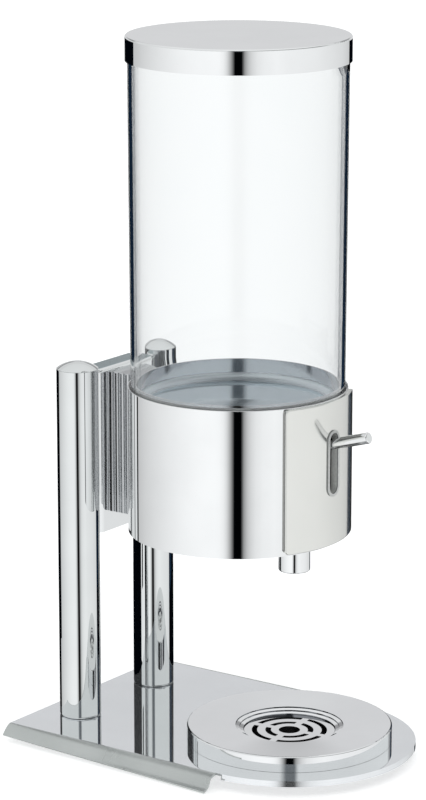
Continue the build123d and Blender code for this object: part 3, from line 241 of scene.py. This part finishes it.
# Black flags behind the object, running away from the camera: they draw the dark edges on the polished round parts.
FLAG_FOOT, FLAG_HEAD = -1.2, 0.262
for name, (x, y), deg, start, end, card in (("flag_left", (-0.057, 0.174), -174.0, 0.0, 3.0, black_card),
                                            ("flag_blue", (0.240, -0.076), 174.0, 0.0, 0.138, deep_card),
                                            ("flag_right", (0.240, -0.076), 174.0, 0.138, 3.0, black_card)):
    run = toward * math.cos(math.radians(deg)) + right * math.sin(math.radians(deg))
    near, far = Vector((x, y, 0.0)) + start * run, Vector((x, y, 0.0)) + end * run
    studio_card(name, [(near.x, near.y, FLAG_FOOT), (far.x, far.y, FLAG_FOOT), (far.x, far.y, FLAG_HEAD), (near.x, near.y, FLAG_HEAD)], card, True, False)

studio_card("flag_post", [(-0.0625, 0.148, 0.06), (-0.046, 0.153, 0.06), (-0.046, 0.153, FLAG_HEAD), (-0.0625, 0.148, FLAG_HEAD)], black_card, True, False)

# ---------------------------------------------------------------- materials
def new_material(name):
    m = bpy.data.materials.new(name)
    m.use_nodes = True
    t = m.node_tree
    return m, t, t.nodes["Principled BSDF"]


def noise(t, scale, detail=3.0, stretch=None, rough=0.5):
    co = t.nodes.new("ShaderNodeTexCoord")
    n = t.nodes.new("ShaderNodeTexNoise")
    n.inputs["Scale"].default_value = scale
    n.inputs["Detail"].default_value = detail
    n.inputs["Roughness"].default_value = rough
    if stretch:
        mp = t.nodes.new("ShaderNodeMapping")
        mp.inputs["Scale"].default_value = stretch
        t.links.new(co.outputs["Object"], mp.inputs["Vector"])
        t.links.new(mp.outputs["Vector"], n.inputs["Vector"])
    else:
        t.links.new(co.outputs["Object"], n.inputs["Vector"])
    return n


def ranged(t, source, lo, hi):
    m = t.nodes.new("ShaderNodeMapRange")
    m.inputs["From Min"].default_value = 0.3
    m.inputs["From Max"].default_value = 0.7
    m.inputs["To Min"].default_value = lo
    m.inputs["To Max"].default_value = hi
    t.links.new(source, m.inputs["Value"])
    return m.outputs["Result"]


def tinted(t, source, a, b):
    r = ramp(t, [(0.3, a), (0.7, b)])
    t.links.new(source, r.inputs["Fac"])
    return r.outputs["Color"]


def bump(t, b, source, strength, distance):
    n = t.nodes.new("ShaderNodeBump")
    n.inputs["Strength"].default_value = strength
    n.inputs["Distance"].default_value = distance
    t.links.new(source, n.inputs["Height"])
    t.links.new(n.outputs["Normal"], b.inputs["Normal"])


def polished(name, a, b, lo, hi):
    m, t, s = new_material(name)
    s.inputs["Metallic"].default_value = 1.0
    haze = noise(t, 26.0, 4.0)
    fine = noise(t, 420.0, 2.0)
    t.links.new(tinted(t, haze.outputs["Fac"], a, b), s.inputs["Base Color"])
    t.links.new(ranged(t, fine.outputs["Fac"], lo, hi), s.inputs["Roughness"])
    return m


def satin_metal(name, a, b, lo, hi, metallic=1.0):
    """Even sheen: colour and roughness drift slowly over the piece."""
    m, t, s = new_material(name)
    s.inputs["Metallic"].default_value = metallic
    haze = noise(t, 26.0, 4.0)
    t.links.new(tinted(t, haze.outputs["Fac"], a, b), s.inputs["Base Color"])
    t.links.new(ranged(t, haze.outputs["Fac"], lo, hi), s.inputs["Roughness"])
    return m


def from_axis(t, x, y):
    """Distance from an upright axis, and the way out from it."""
    co = t.nodes.new("ShaderNodeTexCoord")
    flat = t.nodes.new("ShaderNodeVectorMath")
    flat.operation = "MULTIPLY_ADD"
    flat.inputs[1].default_value = (1.0, 1.0, 0.0)
    flat.inputs[2].default_value = (-x, -y, 0.0)
    t.links.new(co.outputs["Object"], flat.inputs[0])
    length = t.nodes.new("ShaderNodeVectorMath")
    length.operation = "LENGTH"
    t.links.new(flat.outputs["Vector"], length.inputs[0])
    unit_out = t.nodes.new("ShaderNodeVectorMath")
    unit_out.operation = "NORMALIZE"
    t.links.new(flat.outputs["Vector"], unit_out.inputs[0])
    face_out = t.nodes.new("ShaderNodeVectorMath")
    face_out.operation = "DOT_PRODUCT"
    t.links.new(unit_out.outputs["Vector"], face_out.inputs[0])
    t.links.new(co.outputs["Normal"], face_out.inputs[1])
    return length.outputs["Value"], face_out.outputs["Value"]


def between(t, source, lo, hi):
    m = t.nodes.new("ShaderNodeMapRange")
    m.inputs["From Min"].default_value = lo
    m.inputs["From Max"].default_value = hi
    t.links.new(source, m.inputs["Value"])
    return m.outputs["Result"]


def mixed(t, factor, a, b, colour=True):
    m = t.nodes.new("ShaderNodeMix")
    if colour:
        m.data_type = "RGBA"
    t.links.new(factor, m.inputs["Factor"])
    t.links.new(a, m.inputs["A"])
    t.links.new(b, m.inputs["B"])
    return m.outputs["Result"]


def facing(t, lo, hi):
    """How far the surface turns from upright (0) to facing up (1)."""
    co = t.nodes.new("ShaderNodeTexCoord")
    sep = t.nodes.new("ShaderNodeSeparateXYZ")
    t.links.new(co.outputs["Normal"], sep.inputs["Vector"])
    m = t.nodes.new("ShaderNodeMapRange")
    m.inputs["From Min"].default_value = lo
    m.inputs["From Max"].default_value = hi
    t.links.new(sep.outputs["Z"], m.inputs["Value"])
    return m.outputs["Result"]


def painted_shade_by_facing(name, side, side_rough, top, top_rough, lo, hi, metallic=1.0):
    """Sheet whose upper face and turned-down or cut edges have different polish, and different colours that paint
    light and shade by which way the face turns.
    """
    m, t, s = new_material(name)
    s.inputs["Metallic"].default_value = metallic
    haze = noise(t, 26.0, 4.0)
    fine = noise(t, 420.0, 2.0)
    turn_up = facing(t, lo, hi)
    col = t.nodes.new("ShaderNodeMix")
    col.data_type = "RGBA"
    t.links.new(turn_up, col.inputs["Factor"])
    t.links.new(tinted(t, haze.outputs["Fac"], *side), col.inputs["A"])
    t.links.new(tinted(t, haze.outputs["Fac"], *top), col.inputs["B"])
    t.links.new(col.outputs["Result"], s.inputs["Base Color"])
    rough = t.nodes.new("ShaderNodeMix")
    t.links.new(turn_up, rough.inputs["Factor"])
    t.links.new(ranged(t, haze.outputs["Fac"], *side_rough), rough.inputs["A"])
    t.links.new(ranged(t, fine.outputs["Fac"], *top_rough), rough.inputs["B"])
    t.links.new(rough.outputs["Result"], s.inputs["Roughness"])
    return m


def brushed(name, a, b, lo, hi, stretch, strength=0.08):
    m, t, s = new_material(name)
    s.inputs["Metallic"].default_value = 1.0
    lines = noise(t, 1.0, 4.0, stretch)
    t.links.new(tinted(t, lines.outputs["Fac"], a, b), s.inputs["Base Color"])
    t.links.new(ranged(t, lines.outputs["Fac"], lo, hi), s.inputs["Roughness"])
    bump(t, s, lines.outputs["Fac"], strength, 0.0001)
    return m


def plastic(name, a, b, lo, hi, scale=700.0, strength=0.06):
    m, t, s = new_material(name)
    g = noise(t, scale, 3.0)
    t.links.new(tinted(t, g.outputs["Fac"], a, b), s.inputs["Base Color"])
    t.links.new(ranged(t, g.outputs["Fac"], lo, hi), s.inputs["Roughness"])
    bump(t, s, g.outputs["Fac"], strength, 0.0001)
    return m


mirror = polished("polished_steel", (0.86, 0.865, 0.87), (0.90, 0.905, 0.91), 0.012, 0.03)
satin = brushed("satin_steel", (0.50, 0.51, 0.52), (0.60, 0.61, 0.62), 0.24, 0.36, (60.0, 900.0, 900.0))
fastener = brushed("fastener_steel", (0.52, 0.53, 0.54), (0.62, 0.63, 0.64), 0.16, 0.28, (500.0, 500.0, 500.0))
spring = brushed("spring_wire", (0.34, 0.34, 0.35), (0.44, 0.44, 0.45), 0.22, 0.34, (700.0, 200.0, 200.0))
block = polished("polished_block", (0.53, 0.54, 0.555), (0.57, 0.58, 0.595), 0.11, 0.13)
grey_pl = plastic("grey_plastic", (0.30, 0.31, 0.31), (0.34, 0.35, 0.35), 0.30, 0.42)
white_pl = plastic("white_plastic", (0.78, 0.79, 0.79), (0.84, 0.85, 0.85), 0.35, 0.48)
black_pl = plastic("black_plastic", (0.03, 0.03, 0.032), (0.045, 0.045, 0.048), 0.32, 0.46)
rotor_pl = plastic("rotor_plastic", (0.74, 0.75, 0.75), (0.82, 0.83, 0.83), 0.30, 0.40)
rubber = plastic("black_rubber", (0.012, 0.012, 0.013), (0.026, 0.026, 0.028), 0.55, 0.75, 380.0, 0.2)
silicone = plastic("silicone", (0.55, 0.56, 0.57), (0.66, 0.67, 0.68), 0.40, 0.55, 260.0, 0.1)

HEAD, TRAY = (0.0, -0.0008), (0.0, -0.0463)
rear_satin = brushed("rear_steel", (0.58, 0.59, 0.60), (0.68, 0.69, 0.70), 0.34, 0.46, (900.0, 900.0, 60.0), 0.04)
rear_satin.node_tree.nodes["Principled BSDF"].inputs["Metallic"].default_value = 0.5
base_satin = satin_metal("container_floor", (0.52, 0.60, 0.65), (0.55, 0.63, 0.68), 0.08, 0.095)
# Collar: polished, satin on its bend, with a pale matt band low on the outside that is painted light, standing in for
# the light tone where the polished face mirrors a dark gap.
collar_satin, kt, ks = new_material("collar_steel")
_, outward = from_axis(kt, *HEAD)
outside = between(kt, outward, 0.0, 0.5)
level = kt.nodes.new("ShaderNodeSeparateXYZ")
kt.links.new(kt.nodes.new("ShaderNodeTexCoord").outputs["Object"], level.inputs["Vector"])
# Mask of the pale band below the rim on the outer face: painted light.
pale_band_painted_light = kt.nodes.new("ShaderNodeMath")
pale_band_painted_light.operation = "MULTIPLY"
kt.links.new(outside, pale_band_painted_light.inputs[0])
kt.links.new(between(kt, level.outputs["Z"], 0.2662, 0.2655), pale_band_painted_light.inputs[1])
pale_band_painted_light = pale_band_painted_light.outputs["Value"]
drift = noise(kt, 26.0, 4.0).outputs["Fac"]
bend = kt.nodes.new("ShaderNodeMath")
bend.operation = "SUBTRACT"
kt.links.new(facing(kt, 0.04, 0.22), bend.inputs[0])
kt.links.new(facing(kt, 0.93, 0.995), bend.inputs[1])
bend = bend.outputs["Value"]
inside = mixed(kt, bend, tinted(kt, drift, (0.67, 0.67, 0.69), (0.71, 0.71, 0.73)), tinted(kt, drift, (0.78, 0.84, 0.88), (0.82, 0.88, 0.92)))
inside_rough = mixed(kt, bend, ranged(kt, drift, 0.07, 0.10), ranged(kt, drift, 0.42, 0.48), False)
outer = mixed(kt, pale_band_painted_light, tinted(kt, drift, (0.40, 0.42, 0.44), (0.44, 0.46, 0.48)), tinted(kt, drift, (0.86, 0.87, 0.88), (0.90, 0.91, 0.92)))
outer_rough = mixed(kt, pale_band_painted_light, ranged(kt, drift, 0.04, 0.08), ranged(kt, drift, 0.45, 0.55), False)
kt.links.new(mixed(kt, outside, inside, outer), ks.inputs["Base Color"])
kt.links.new(mixed(kt, outside, inside_rough, outer_rough, False), ks.inputs["Roughness"])
kt.links.new(between(kt, pale_band_painted_light, 1.0, 0.0), ks.inputs["Metallic"])
panel_steel = satin_metal("panel_steel", (0.795, 0.795, 0.765), (0.825, 0.825, 0.795), 0.12, 0.145, 0.93)
column_steel = polished("column_steel", (0.755, 0.77, 0.77), (0.79, 0.805, 0.805), 0.012, 0.03)
# Base plate: polished, with satin side flanges; their darker, less metallic colour is painted shade on the turned-down
# sides.
plate_steel, pt, ps = new_material("plate_steel")
across = pt.nodes.new("ShaderNodeSeparateXYZ")
pt.links.new(pt.nodes.new("ShaderNodeTexCoord").outputs["Object"], across.inputs["Vector"])
aside = pt.nodes.new("ShaderNodeMath")
aside.operation = "ABSOLUTE"
pt.links.new(across.outputs["X"], aside.inputs[0])
# Flange mask: the darker colour it selects is painted shade.
flange_painted_shade = between(pt, aside.outputs["Value"], 0.0903, 0.0909)
mist = noise(pt, 26.0, 4.0).outputs["Fac"]
pt.links.new(mixed(pt, flange_painted_shade, tinted(pt, mist, (0.85, 0.865, 0.885), (0.89, 0.905, 0.925)), tinted(pt, mist, (0.53, 0.555, 0.545), (0.59, 0.615, 0.605))), ps.inputs["Base Color"])
pt.links.new(mixed(pt, flange_painted_shade, ranged(pt, noise(pt, 420.0, 2.0).outputs["Fac"], 0.02, 0.04), ranged(pt, mist, 0.27, 0.30), False), ps.inputs["Roughness"])
metal = pt.nodes.new("ShaderNodeMapRange")
metal.inputs["To Min"].default_value, metal.inputs["To Max"].default_value = 0.90, 0.35
pt.links.new(flange_painted_shade, metal.inputs["Value"])
pt.links.new(metal.outputs["Result"], ps.inputs["Metallic"])
# Back plate: its top face is painted dark teal as painted shade, against the bright front and cut edges.
back_plate_painted_shade = painted_shade_by_facing("back_plate_steel_painted_top_shade", ((0.84, 0.85, 0.855), (0.88, 0.89, 0.895)), (0.015, 0.035),
                       ((0.27, 0.35, 0.37), (0.31, 0.39, 0.41)), (0.10, 0.16), 0.93, 0.985)
# Slot trim: light flange, with dark rings along its edges that are painted shade, and a grey sleeve inside painted
# lighter than the flange, painted light for its shaded inside.
bezel_pl, bt, bs = new_material("bezel_plastic")
reach, _ = from_axis(bt, *HEAD)
speck = noise(bt, 700.0, 3.0).outputs["Fac"]
# Dark edge rings: painted shade.
edge_painted_shade = tinted(bt, speck, (0.20, 0.21, 0.21), (0.24, 0.25, 0.25))
inner = mixed(bt, between(bt, reach, 0.0809, 0.0811), tinted(bt, speck, (0.60, 0.61, 0.59), (0.66, 0.67, 0.65)), edge_painted_shade)
bt.links.new(mixed(bt, between(bt, reach, 0.0816, 0.0818), inner, tinted(bt, speck, (0.50, 0.51, 0.50), (0.55, 0.56, 0.55))), bs.inputs["Base Color"])
bt.links.new(ranged(bt, speck, 0.22, 0.32), bs.inputs["Roughness"])
# Tray cover: polished all over; the upright walls of the pressed steps in the well are painted dark as painted shade,
# and steep faces are a little rougher.
cover_steel, vt, vs = new_material("cover_steel")
vs.inputs["Metallic"].default_value = 1.0
span, _ = from_axis(vt, *TRAY)
cloud = noise(vt, 26.0, 4.0).outputs["Fac"]
upward = facing(vt, 0.3, 0.9)
well = between(vt, span, 0.046, 0.042)
bright = tinted(vt, cloud, (0.86, 0.865, 0.875), (0.90, 0.905, 0.915))
# Well step walls painted dark: painted shade.
well_step_painted_shade = mixed(vt, well, bright, tinted(vt, cloud, (0.24, 0.25, 0.27), (0.30, 0.31, 0.33)))
vt.links.new(mixed(vt, upward, well_step_painted_shade, bright), vs.inputs["Base Color"])
vt.links.new(mixed(vt, upward, ranged(vt, cloud, 0.035, 0.045), ranged(vt, noise(vt, 420.0, 2.0).outputs["Fac"], 0.012, 0.03), False), vs.inputs["Roughness"])
# Drip pan painted near-black: painted shade for the deep shade seen through the tray's slots and centre hole.
pan_painted_shade = plastic("pan_plastic_painted_shade", (0.004, 0.004, 0.0045), (0.008, 0.008, 0.009), 0.70, 0.85)
pan_painted_shade.node_tree.nodes["Principled BSDF"].inputs["Specular IOR Level"].default_value = 0.15
clear, ct, cs = new_material("clear_plastic")
cs.inputs["Transmission Weight"].default_value = 1.0
cs.inputs["IOR"].default_value = 1.49
cs.inputs["Specular Tint"].default_value = (0.32, 0.33, 0.34, 1.0)
haze = noise(ct, 30.0, 3.0)
ct.links.new(tinted(ct, haze.outputs["Fac"], (0.985, 0.992, 0.993), (0.992, 0.996, 0.997)), cs.inputs["Base Color"])
ct.links.new(ranged(ct, haze.outputs["Fac"], 0.0, 0.006), cs.inputs["Roughness"])

finish = {
    "polished_steel": mirror, "block_aluminium": block, "satin_steel": satin, "fastener_steel": fastener,
    "spring_steel": spring, "clear_plastic": clear, "grey_plastic": grey_pl, "white_plastic": white_pl,
    "black_plastic": black_pl, "rotor_plastic": rotor_pl, "black_rubber": rubber, "silicone": silicone,
}
for sub in frame["record"]["subparts"]:
    mesh = nodes[sub["node"]].data
    mesh.materials.clear()
    mesh.materials.append(finish[sub["material_slot"]])

# Pieces whose polish or colour differs from the rest of their group; some of these colours are painted light and
# shade.
for name, look in (("container_base", base_satin), ("base_collar", collar_satin), ("back_cover", rear_satin), ("drain_strainer", base_satin), ("front_panel", panel_steel),
                   ("left_column", column_steel), ("right_column", column_steel), ("left_column_cap", column_steel), ("right_column_cap", column_steel),
                   ("base_plate", plate_steel), ("back_plate", back_plate_painted_shade), ("drip_pan", pan_painted_shade), ("slot_bezel", bezel_pl), ("tray_cover", cover_steel)):
    nodes[name].data.materials.clear()
    nodes[name].data.materials.append(look)
weld = nodes["container"].modifiers.new("weld", "WELD")
weld.merge_threshold = 0.00002
